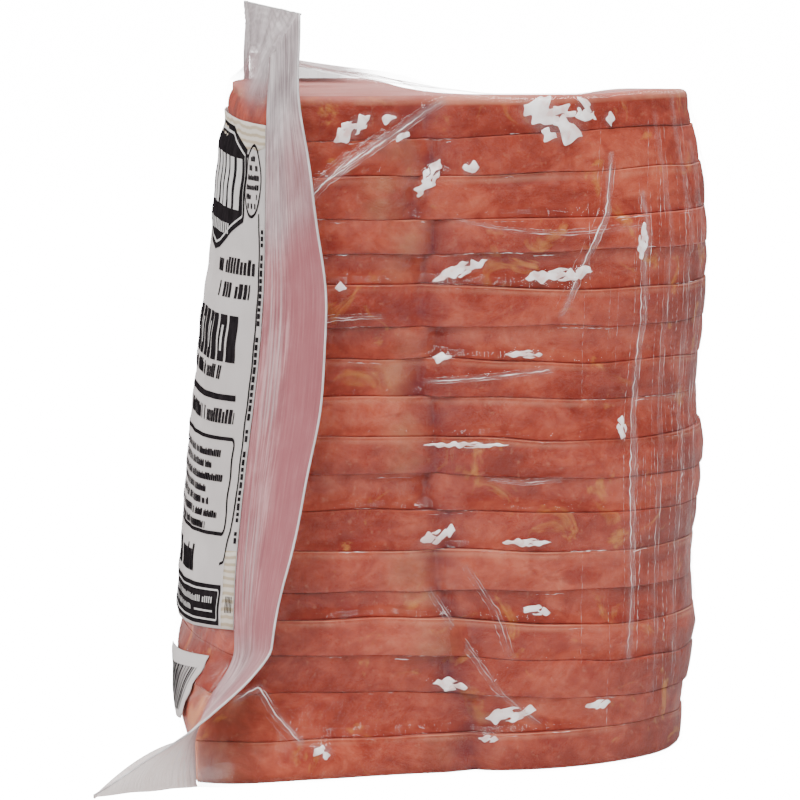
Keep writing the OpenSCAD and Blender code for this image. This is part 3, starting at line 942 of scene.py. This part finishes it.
class Ridges(Gathered):
    """Thin raised lines and flecks of film, coloured as painted highlights."""

    # the flecks of a large patch: length, place along and up, and height, as shares of its half sizes
    PARTS = [(0.62, -0.36, 0.1, 1.0), (0.45, 0.5, -0.1, 0.8), (0.34, 0.0, 0.75, 0.45), (0.3, 0.2, -0.8, 0.4)]

    def __init__(self, seed):
        super().__init__()
        self.random = np.random.default_rng(seed)

    def stroke(self, a, z, half, seek, broken=0.35, rate=1.3):
        """A line along (a, z) with an uneven half width that tapers to nothing at both ends."""
        path = np.stack([a, z], -1)
        run = run_of(path)
        at = np.linspace(0, run[-1], max(8, int(run[-1] / 0.22)))
        p = np.stack([np.interp(at, run, path[:, k]) for k in (0, 1)], -1)
        seed = int(self.random.integers(1e6))
        for k in (0, 1):
            p[:, k] = np.convolve(np.pad(p[:, k], 3, mode="edge"), np.ones(7) / 7, mode="valid")
            p[:, k] += 0.06 * waves(seed + k, at, n=4, low=0.1, high=0.8)
        uneven = 0.75 * waves(seed + 2, at, n=6, low=0.1 * rate, high=rate)
        width = half * np.clip(0.62 + uneven - broken * 0.4, 0.08, 1.3)
        width = width * np.sin(np.linspace(0.02, math.pi - 0.02, len(at))) ** 0.6
        col, row = seek(p[:, 0], p[:, 1])
        centre, out = on_wall(WALL, col, row), on_wall(OUTWARD, col, row)
        side = unit(np.cross(out, np.gradient(centre, axis=0)))
        self.take(*tube_rings(centre + 0.03 * out, width[:, None, None], side, out, 6, 0.45))

    def patch(self, a0, z0, ra, rz, turn, seek):
        """Bright flecks with a torn outline, a little domed, that lean to one side."""
        if rz > ra:
            ra, rz, turn = rz, ra, turn + 90
        r, t = self.random, math.radians(turn)
        parts = self.PARTS if ra > 1.25 else [(1.0, 0, 0, 1.0)]
        for size, along, up, tall in parts:
            reach, seed = size * ra * r.uniform(0.8, 1.15), int(r.integers(1e6))
            u = np.linspace(-1, 1, max(12, int(reach / 0.06)))
            jags = (waves(seed + k, u * reach, n=5, low=0.12, high=0.8) for k in (0, 1))
            above, below = (np.clip(0.8 + 0.5 * jag, 0.1, 1.4) for jag in jags)
            half = rz * tall * (1 - 0.995 * np.abs(u) ** r.uniform(1.2, 2.2)) ** 0.8
            share = np.array([0, 0.12, 0.5, 0.88, 1])[:, None]
            v = lerp(half * above, -half * below, share) + up * rz
            u = reach * u + along * ra + v * r.uniform(-0.7, 0.9)
            a, z = a0 + u * math.cos(t) - v * math.sin(t), z0 + u * math.sin(t) + v * math.cos(t)
            col, row = seek(a.ravel(), z.ravel())
            rise = (0.02 + 0.09 * np.sin(share * math.pi) + 0 * v).ravel()[:, None]
            self.take(on_wall(WALL, col, row) + rise * on_wall(OUTWARD, col, row), [grid_faces(*v.shape)])


bright, faint = Ridges(17), Ridges(18)
for path, width, height, sharp in FOLDS:
    ys, zs = np.array(path, float).T
    (bright if sharp > 0.7 else faint).stroke(ys, zs, 0.03 + 0.05 * sharp, find, 0.5 - 0.4 * sharp, 0.3)
    faint.stroke(ys + 0.6, zs - 0.3, 0.06, find, 0.4, 0.3)
    faint.stroke(ys - 0.9, zs + 0.35, 0.04, find, 0.9)
for (py, pz), (ry, rz), turn, strong in PATCHES:
    bright.patch(py, pz, ry, rz, turn, find)
r = bright.random
for k in range(44):  # fine lines that run up the rear of the right side
    y0, z0, long = 14 + 18 * r.uniform() ** 0.7, r.uniform(4, 76), r.uniform(3, 24)
    z1 = min(z0 + long, 84)
    ys, zs = np.linspace(y0, y0 + r.uniform(-0.8, 0.8), 6), np.linspace(z0, z1, 6)
    (faint if k % 5 else bright).stroke(ys, zs, r.uniform(0.02, 0.045), find, 0.8)
for k in range(70):  # short lines along the ledges between the slices
    i, y0, long = r.integers(1, COUNT), r.uniform(-23, 28), r.uniform(0.8, 6)
    ys = np.linspace(y0, min(y0 + long, 31), 8)
    zs = cut_z(i, 37 + 0 * ys, ys) + r.uniform(-0.5, 0.15)
    (faint if k % 3 else bright).stroke(ys, zs, r.uniform(0.02, 0.06), find, 0.6)
for strength, path, width in side_folds():
    ss, zs = np.array(path, float).T
    (bright if strength > 0.8 else faint).stroke(ss, zs, 0.03 + 0.04 * strength, find_round, 0.6)
for _ in range(20):
    place, half = (r.uniform(84, 196), r.uniform(6, 82)), (r.uniform(0.6, 3.4), r.uniform(0.3, 0.9))
    bright.patch(*place, *half, r.uniform(-40, 40), find_round)
bright.make("film_glints", GLINT, "film")
faint.make("film_ridges", RIDGE, "film")

# ---------------------------------------------------------------- lid, label and print
# how far ahead of the lid's even surface the film, the papers and the inks lie
LID_AT, PAPER_AT, BAND_AT, INK_AT, PALE_AT = 0.15, 0.22, 0.34, 0.38, 0.42
PATCH_AT, PATCH_INK_AT = 0.20, 0.34
PULL_RISE = 0.0525  # how much the print rises to the right, where the film is pulled


def lid_surface(x, z, ahead):
    """The lid with its fine unevenness, moved ahead of itself by a little."""
    inside = ROOT_X - np.abs(x)
    ripple = 0.06 * np.sin(2 * math.pi * (z - BASE) / SLICE_T) * smooth(inside / 8) * smooth(z / 8)
    ripple = ripple + 0.08 * waves(31, x, z, n=8, low=0.03, high=0.11) * smooth(inside / 6)
    return xyz(x, lid_y(x, z) - ahead - ripple * smooth((WELD - z) / 6), z)


def make_lid():
    share, z = np.meshgrid(np.linspace(0, 1, 150), np.linspace(TUCK, WELD, 190))
    x = lerp(-ROOT_X, side_x(z), share)
    crease = np.zeros(x.shape)
    for seed in range(9):
        r = np.random.default_rng(200 + seed)
        x0, z0 = r.uniform(-34, 34), r.choice([r.uniform(2, 13), r.uniform(84, 90)])
        _, c = fold(x, z, [(x0, z0), (x0 + r.uniform(-8, 8), z0 + r.uniform(-3, 5))], 0.4)
        crease = np.maximum(crease, 0.6 * c)
    crease = 0.3 * crease + 0.22 * smooth((z - 85) / 3) * smooth((x - 5) / 25)
    marks = {"st": xyz(x, z, 0), "crease": crease}
    points, faces = lid_surface(x, z, LID_AT), [grid_faces(*x.shape)]
    new_object("lid_film", points, faces, LID, ["lidding_film"], marks)


make_lid()

label_low, label_high = mm_box("front_label")
LABEL_X, LABEL_Z0, LABEL_Z1 = label_high[0], label_low[2], label_high[2]


def pull_rise(x):
    return PULL_RISE * (x + np.sqrt(x * x + 100))


def on_lid(x, z, ahead):
    """The film is drawn up towards the pulled corner, and the label's print with it."""
    t = np.clip((z - LABEL_Z0) / (LABEL_Z1 - LABEL_Z0), 0, 1)
    return lid_surface(x, z + (pull_rise(x) - 0.8) * (1 - t), ahead)


def on_patch(x, z, ahead):
    return lid_surface(x, z + pull_rise(x) - 3.4, ahead)


def panel(name, place, x, z, ahead, material, slot, nodes=(), thick=0.1):
    """A thin printed sheet over a grid of x and z."""
    front, back = place(x, z, ahead + thick), place(x, z, ahead)
    thick_sheet(name, front, back, material, nodes, {"st": xyz(x, z, 0)})


def mesh_of(x0, x1, z0, z1, extra=0):
    """A grid with a point about every 0.8 mm."""
    nx, nz = (int(length / 0.8) + extra for length in (x1 - x0, z1 - z0))
    return np.meshgrid(np.linspace(x0, x1, max(3 - extra, nx)), np.linspace(z0, z1, max(2, nz)))


class Print(Gathered):
    """Flat printed shapes of one ink."""

    def __init__(self, ahead, place=on_lid):
        super().__init__()
        self.ahead, self.place = ahead, place

    def grid(self, x, z):
        self.take(self.place(x, z, self.ahead), [grid_faces(*x.shape)])

    def bar(self, x0, x1, z0, z1):
        self.grid(*mesh_of(x0, x1, z0, z1, extra=1))

    def line(self, path, width, closed=False):
        path = np.array(path, float)
        if closed:
            path = np.concatenate([path, path[:1]])
        steps = run_of(path)
        at = np.unique(np.concatenate([steps, np.arange(0, steps[-1], 0.7)]))
        p = np.stack([np.interp(at, steps, path[:, 0]), np.interp(at, steps, path[:, 1])], -1)
        d = np.gradient(p, axis=0)
        if closed:
            d[0] = d[-1] = p[1] - p[-2]
        d = unit(d)
        side = np.stack([-d[:, 1], d[:, 0]], -1) * width / 2
        rows = np.stack([p + side, p - side])
        self.grid(rows[..., 0], rows[..., 1])

    def words(self, x0, x1, z0, height, block, gap, seed):
        """A line of plain blocks in the place of a line of type."""
        r = np.random.default_rng(seed)
        x = x0
        while x < x1 - 0.3 * block:
            wide = block * r.uniform(0.75, 1.2)
            if r.uniform() > 0.14:
                self.bar(x, min(x + wide, x1), z0, z0 + height * r.choice([1.0, 1.0, 0.8]))
            x += wide + gap


def rounded_box(x0, x1, z0, z1, r):
    corners = [(x1 - r, z1 - r, 0), (x0 + r, z1 - r, 90), (x0 + r, z0 + r, 180), (x1 - r, z0 + r, 270)]
    turns = [(cx, cz, math.radians(a + k)) for cx, cz, a in corners for k in range(0, 91, 15)]
    return [(cx + r * math.cos(t), cz + r * math.sin(t)) for cx, cz, t in turns]


x, z = mesh_of(-LABEL_X, LABEL_X, LABEL_Z0, LABEL_Z1)
panel("label_paper", on_lid, x, z, PAPER_AT, PAPER, "label", ["front_label"])
BAND, CORNER_X, CORNER_TALL = 4.2, 33.2, 10.5
x, z = mesh_of(-LABEL_X, LABEL_X, LABEL_Z1 - BAND, LABEL_Z1)
wavy = LABEL_Z1 - 3.9 + 0.7 * np.sin(x * 0.23) + 0.3 * np.sin(x * 0.71)
z = lerp(wavy, LABEL_Z1, (z - LABEL_Z1 + BAND) / BAND)
panel("label_band", on_lid, x, z, BAND_AT, GRAIN, "label", thick=0.02)
for side, name in ((-1, "left"), (1, "right")):
    corner = mesh_of(*sorted((side * CORNER_X, side * LABEL_X)), LABEL_Z0, LABEL_Z0 + CORNER_TALL)
    panel(f"label_corner_{name}", on_lid, *corner, BAND_AT, GRAIN, "label", thick=0.02)

ink, pale = Print(INK_AT), Print(PALE_AT)
# the emblem: a plain plaque with slanted bars
PLAQUE_X = 27.2
top_edge = lambda x: np.interp(np.abs(x), [0, 12, PLAQUE_X], [81.9, 81.9, 79.4])
low_edge = lambda x: np.interp(np.abs(x), [0, 7, PLAQUE_X], [65.2, 65.8, 69.8])
x, share = np.meshgrid(np.linspace(-PLAQUE_X, PLAQUE_X, 70), np.linspace(0, 1, 22))
ink.grid(x, lerp(low_edge(x), top_edge(x), share))
plaque = [(x, top_edge(x) - 0.95) for x in np.linspace(-26.2, 26.2, 30)]
plaque += [(x, low_edge(x) + 0.95) for x in np.linspace(26.2, -26.2, 30)]
pale.line(plaque, 0.32, closed=True)
for x in np.arange(-21, 22, 7.0):
    x, z = np.meshgrid(np.linspace(x - 2.3, x + 2.3, 5), np.linspace(71.2, 78.0, 9))
    pale.grid(x + (z - 74.6) * 0.16, z)
for x in np.arange(-15, 16, 2.5):
    pale.bar(x - 0.7, x + 0.7, 67.8, 69.2)
# frame line with its stamp, an oval that holds plain lines
OVAL_X, OVAL_Z = 31.3, 75.4
ink.line([(PLAQUE_X, 78.6), (28.5, 78.6)], 0.45)
turns = np.linspace(0, 2 * math.pi, 48, endpoint=False)
ink.line([(OVAL_X + 4.0 * math.cos(t), OVAL_Z + 4.7 * math.sin(t)) for t in turns], 0.42, closed=True)
for k, half in enumerate((1.3, 2.2, 2.9, 3.0, 2.6, 1.9)):
    ink.words(OVAL_X - half, OVAL_X + half, 78.0 - k * 1.25, 0.72, 0.6, 0.22, 300 + k)
frame_foot = [(35.3, 33), (34.6, 29), (33.4, 26.8), (32.6, 24.9)]
ink.line([(34.6, 71.2), (35.3, 68), (35.6, 60), (35.4, 45), *frame_foot, (31.2, 24.6)], 0.4)
left_foot = [(-x, z) for x, z in frame_foot]
ink.line([(-PLAQUE_X, 78.6), (-34.6, 78.6), (-35.4, 77.6), (-35.5, 45), *left_foot], 0.4)
# lines of type, drawn as plain blocks
ink.words(10, 34.0, 62.9, 2.1, 1.5, 0.55, 310)
ink.words(14, 32.4, 59.7, 2.0, 1.5, 0.55, 311)
capitals = np.arange(-31.4, 28, 6.2)
for x in capitals:
    ink.bar(x, x + 4.7, 51.2, 57.4)
for x in capitals[::2]:
    pale.bar(x + 1.7, x + 3.0, 52.6, 56.0)
ink.words(-22, 24, 48.9, 1.8, 1.2, 0.45, 312)
ink.bar(-31, 31, 46.2, 47.0)
ink.words(-30, 31.4, 43.2, 1.9, 1.15, 0.4, 313)
ink.line(rounded_box(-32.4, 32.4, 28.6, 41.2, 1.1), 0.5, closed=True)
for k, end in enumerate((28, 24, 30, 22, 23, 28, 22)):
    ink.words(-30.5, end, 38.7 - k * 1.62, 0.95, 0.75, 0.25, 320 + k)
ink.words(-12, 16, 23.0, 3.6, 1.6, 0.5, 330)
# footer
ink.grid(*np.meshgrid(np.linspace(-32.4, 32.4, 82), np.linspace(16.4, 21.8, 9)))
pale.line(rounded_box(-31.7, 31.7, 17.1, 21.1, 0.4), 0.25, closed=True)
pale.words(-30.5, 29.5, 19.3, 0.85, 0.6, 0.5, 340)
pale.words(-30.5, 15, 17.9, 0.7, 0.6, 0.5, 341)
pale.bar(19, 30, 18.1, 18.35)
# small type up both borders
for side in (-1, 1):
    r = np.random.default_rng(350 + side)
    z = 27.5
    while z < 70:
        tall = r.uniform(0.45, 0.95)
        if r.uniform() > 0.12:
            ink.bar(*sorted((side * 35.9, side * 36.7)), z, z + tall)
        z += tall + 0.28
for k in range(5):
    ink.bar(34.4 + k * 0.45, 34.65 + k * 0.45, 18.2, 20.4)
ink.make("label_ink", INK, "label")
pale.make("label_pale_ink", PALE_INK, "label")

# the patch of bars, with an uneven right edge
patch_low, patch_high = mm_box("bar_patch")
PX0, PX1, PZ0, PZ1 = patch_low[0], patch_high[0], patch_low[2], patch_high[2]
share, z = np.meshgrid(np.linspace(0, 1, 46), np.linspace(0, 1, 12))
x = lerp(PX0, PX1 + 0.35 * np.sin(z * 19) - 0.3, share)
panel("patch_paper", on_patch, x, lerp(PZ0, PZ1, z), PATCH_AT, PAPER, "patch", ["bar_patch"])
bars = Print(PATCH_INK_AT, on_patch)
r = np.random.default_rng(360)
x = PX0 + 1.6
while x < PX1 - 2.2:
    wide = r.choice([0.3, 0.3, 0.55, 0.8, 1.1])
    bars.grid(*np.meshgrid([x, x + wide], np.linspace(PZ0 + 1.0, PZ1 - 1.6, 6)))
    x += wide + r.choice([0.3, 0.45, 0.7])
bars.make("patch_ink", INK, "label")

# ---------------------------------------------------------------- rim
RIM_THICK = 0.12
SEAL_RIBS = ((2.2, 0.16, 1), (3.0, 0.12, 0.7), (3.7, 0.12, 0.8), (4.6, 0.2, 0.9), (5.4, 0.12, 0.4))


def rim_sheet(name, root, weld, edge, along, pale, relief=1.0, milk_and_glow=0.0, upright=False, seat=6 / 45):
    """A thin sheet with seal ribs and ripples: on the lid from its root to the weld, for the share
    seat of its columns, and free from there to the cut edge. along is where its run starts, pale,
    relief and milk go with the rows, and upright is for the top rim. Returns the cut edge."""
    t = np.linspace(0, 1, 46)
    s = (run_of(edge) + along)[:, None]
    pale, relief, milk_and_glow = (np.reshape(v, (-1, 1)) for v in (pale, relief, milk_and_glow))
    lying, free = (np.clip(v, 0, 1)[None, :, None] for v in (t / seat, (t - seat) / (1 - seat)))
    surface = root[:, None] + (weld - root)[:, None] * lying + (edge - weld)[:, None] * free
    on = t < seat
    surface[:, on, 1] = lid_y(surface[:, on, 0], surface[:, on, 2]) - 0.2 - 0.06 * upright
    across = t[None, :] * np.linalg.norm(edge - root, axis=1)[:, None]
    even_s = s + 0 * across
    normal = unit(np.cross(np.gradient(surface, axis=0), np.gradient(surface, axis=1)))
    ripple = 0.35 * waves(61, even_s, across * 0.2, n=6, low=0.02, high=0.07) * t**1.5
    streaks = 0.10 * waves(62, even_s * 0.03, across, n=12, low=0.4, high=1.3) * smooth(t * 4) * pale
    rib = np.zeros(across.shape)
    for at, width, strong in SEAL_RIBS:
        wander = at + 0.25 * waves(63, s, n=4, low=0.01, high=0.04)
        rib = np.maximum(rib, strong * bell((across - wander) / width))
    rib *= 0.35 + 0.65 * smooth(waves(64, s, n=5, low=0.02, high=0.06) + 0.6)
    height = (ripple + streaks + 0.12 * rib) * relief * smooth(t * 6)
    surface = surface + normal * height[..., None]
    surface[..., 2] = np.maximum(surface[..., 2], 0.06)
    to_pale = smooth(across / 7) if np.any(milk_and_glow) else 1
    marks = {
        "st": xyz(0.8 * s, across, 0) if upright else xyz(across, s, 0),
        "rib": rib * (not upright),
        "thin": (1 - smooth(across / 5.5)) * upright,
        "top": pale * to_pale ** smooth((12 - surface[..., 2]) / 6),
        "milk_and_glow": milk_and_glow * smooth((across + 1) / 6),
        "plain": smooth((across - 6.2) / 1.6) * (1 - pale),
    }
    front, back = (surface + side * normal * RIM_THICK / 2 for side in (1, -1))
    for grid in (front, back):
        grid[..., 2] = np.maximum(grid[..., 2], 0.02)
    thick_sheet(f"{name}_rim_sheet", front, back, RIM, [f"{name}_rim"], marks)
    return surface[:, -1]


def side_rim(side, name):
    steps = np.linspace(0, 1, 150) ** 1.4
    root_z, edge_z = lerp(TUCK + 0.1, WELD, steps), lerp(TIP_Z, RIM_TOP, steps)
    weld_x = side_x(root_z) if side > 0 else -ROOT_X
    root_x = weld_x - side * (0.3 + 1.5 * smooth((root_z - (5 if side > 0 else -4)) / 8))
    root = xyz(root_x, lid_y(root_x, root_z) - 0.2, root_z)
    weld = xyz(weld_x, root_y(root_z, side) - 0.2, root_z)
    edge = xyz(side * RIM_X, edge_y(edge_z, side), edge_z)
    share = 0.1 + 0.5 * smooth((edge_z - 68) / 7) + 0.4 * smooth((edge_z - 80) / 10)
    foot = np.maximum(0.9 * smooth((14 - edge_z) / 12), 0.5 * smooth((22 - edge_z) / 6))
    # milky towards the foot, where the rim also glows as painted light
    relief, milk_and_glow = smooth((edge_z - 1) / 8), smooth((12 - edge_z) / 10)
    return rim_sheet(name, root, weld, edge, 0, np.maximum(share, foot), relief, milk_and_glow)


def top_rim():
    u = np.linspace(1, -1, 150)
    low = 4.7 + 0.4 * np.sin(u * 5) + 3.4 * smooth((u - 0.2) / 0.56)
    root_z = WELD - 0.1 - low * (1 - np.abs(u) ** 30)
    root = xyz(u * ROOT_X, lid_y(u * ROOT_X, root_z) - 0.2, root_z)
    weld = xyz(u * ROOT_X, root_y(WELD + 0 * u, u) - 0.26, WELD)
    edge_left, edge_right = (edge_y(np.array(RIM_TOP), side) for side in (-1, 1))
    edge = xyz(u * RIM_X, lerp(edge_left, edge_right, (u + 1) / 2), RIM_TOP)
    return rim_sheet("top", root, weld, edge, 400, np.ones(150), upright=True, seat=18 / 45)


def bottom_rim():
    """Forward from the weld to the fold, then back under the pocket."""
    x = np.concatenate([np.linspace(-RIM_X, FOLD_X, 60)[:-1], np.linspace(FOLD_X, RIM_X, 90)])
    to_corner = lerp(FOLD_X, side_x(0.0), (x - FOLD_X) / (RIM_X - FOLD_X))
    inner = np.where(x > FOLD_X, to_corner, np.clip(x, -ROOT_X, ROOT_X))
    front = fold_y(x)
    reach = np.maximum(0.2, 11 + front - foot_y(x))
    start, bend = xyz(inner, foot_y(inner), 0.42), xyz(x, front - 0.05, 0.3)
    under, end = xyz(x, front + 0.1, 0.14), xyz(x, front + reach, 0.12)
    lead, back = (np.linspace(0, 1, n)[None, :, None] for n in (26, 14))
    ahead, tucked = lerp(start[:, None], bend[:, None], lead), lerp(under[:, None], end[:, None], back)
    tail = np.concatenate([ahead, tucked], 1)
    crumple = 0.5 * np.abs(waves(65, tail[..., 0], tail[..., 1], n=8, low=0.05, high=0.16))
    along = np.concatenate([np.sin(np.linspace(0, 1, 26) * math.pi), np.zeros(14)])
    tail[..., 2] += crumple * smooth((tail[..., 0] - 14) / 20) * along
    run = np.array([run_of(row) for row in tail])
    lifted, low_side = tail + np.array([0, 0, 0.08]), tail.copy()
    lifted[:, 26:, 2] -= 0.04
    low_side[..., 2] = np.maximum(low_side[..., 2] - 0.02, 0.02)
    marks = {key: 0 * run for key in ("rib", "plain", "thin")}
    # the tail is milky and glows as painted light
    marks |= {"st": xyz(run, x[:, None], 0)[::-1], "top": 0 * run + 1, "milk_and_glow": 0 * run + 0.9}
    thick_sheet("bottom_rim_sheet", lifted[::-1], low_side[::-1], RIM, ["bottom_rim"], marks)


right_edge, left_edge, top_line = side_rim(1, "right"), side_rim(-1, "left"), top_rim()
bottom_rim()
# the cut edge as a thin bead, its near-white colour a painted highlight
tube("cut_edge_bead", np.concatenate([right_edge, top_line[1:-1], left_edge[::-1]]), 0.14, BEAD)

# ---------------------------------------------------------------- floor and lights
floor_mesh = bpy.data.meshes.new("floor")
floor_mesh.from_pydata([(-14, -14, 0), (14, -14, 0), (14, 14, 0), (-14, 14, 0)], [], [(0, 1, 2, 3)])
floor_mesh.materials.append(floor_material())
floor = bpy.data.objects.new("floor", floor_mesh)
bpy.context.collection.objects.link(floor)

world = bpy.data.worlds.new("studio")
bpy.context.scene.world = world
world.use_nodes = True
background = world.node_tree.nodes["Background"]
background.inputs["Color"].default_value = (1, 1, 1, 1)
lit = world.node_tree.nodes.new("ShaderNodeLightPath")
shown = world.node_tree.nodes.new("ShaderNodeMath")
shown.operation = "MULTIPLY_ADD"
shown.inputs[1].default_value, shown.inputs[2].default_value = SHOWN, 0.27
world.node_tree.links.new(lit.outputs["Is Camera Ray"], shown.inputs[0])
world.node_tree.links.new(shown.outputs[0], background.inputs["Strength"])

MIDDLE = (0, 0, 0.05)


def softbox(name, at, size, watts):
    """A rectangular light in metres, aimed at the middle of the pack."""
    light = bpy.data.lights.new(name, "AREA")
    light.shape, light.size, light.size_y, light.energy = "RECTANGLE", size[0], size[1], watts
    obj = bpy.data.objects.new(name, light)
    bpy.context.collection.objects.link(obj)
    obj.location = at
    obj.rotation_euler = (Vector(MIDDLE) - Vector(at)).to_track_quat("-Z", "Y").to_euler()


softbox("key", (0.75, -0.25, 0.75), (0.3, 0.5), 5.6)
softbox("top", (0.1, 0.1, 1.0), (0.5, 0.5), 13)
softbox("front", (-0.3, -0.9, 0.5), (0.4, 0.5), 8)
softbox("back", (-0.8, 0.6, 0.6), (0.4, 0.4), 3)
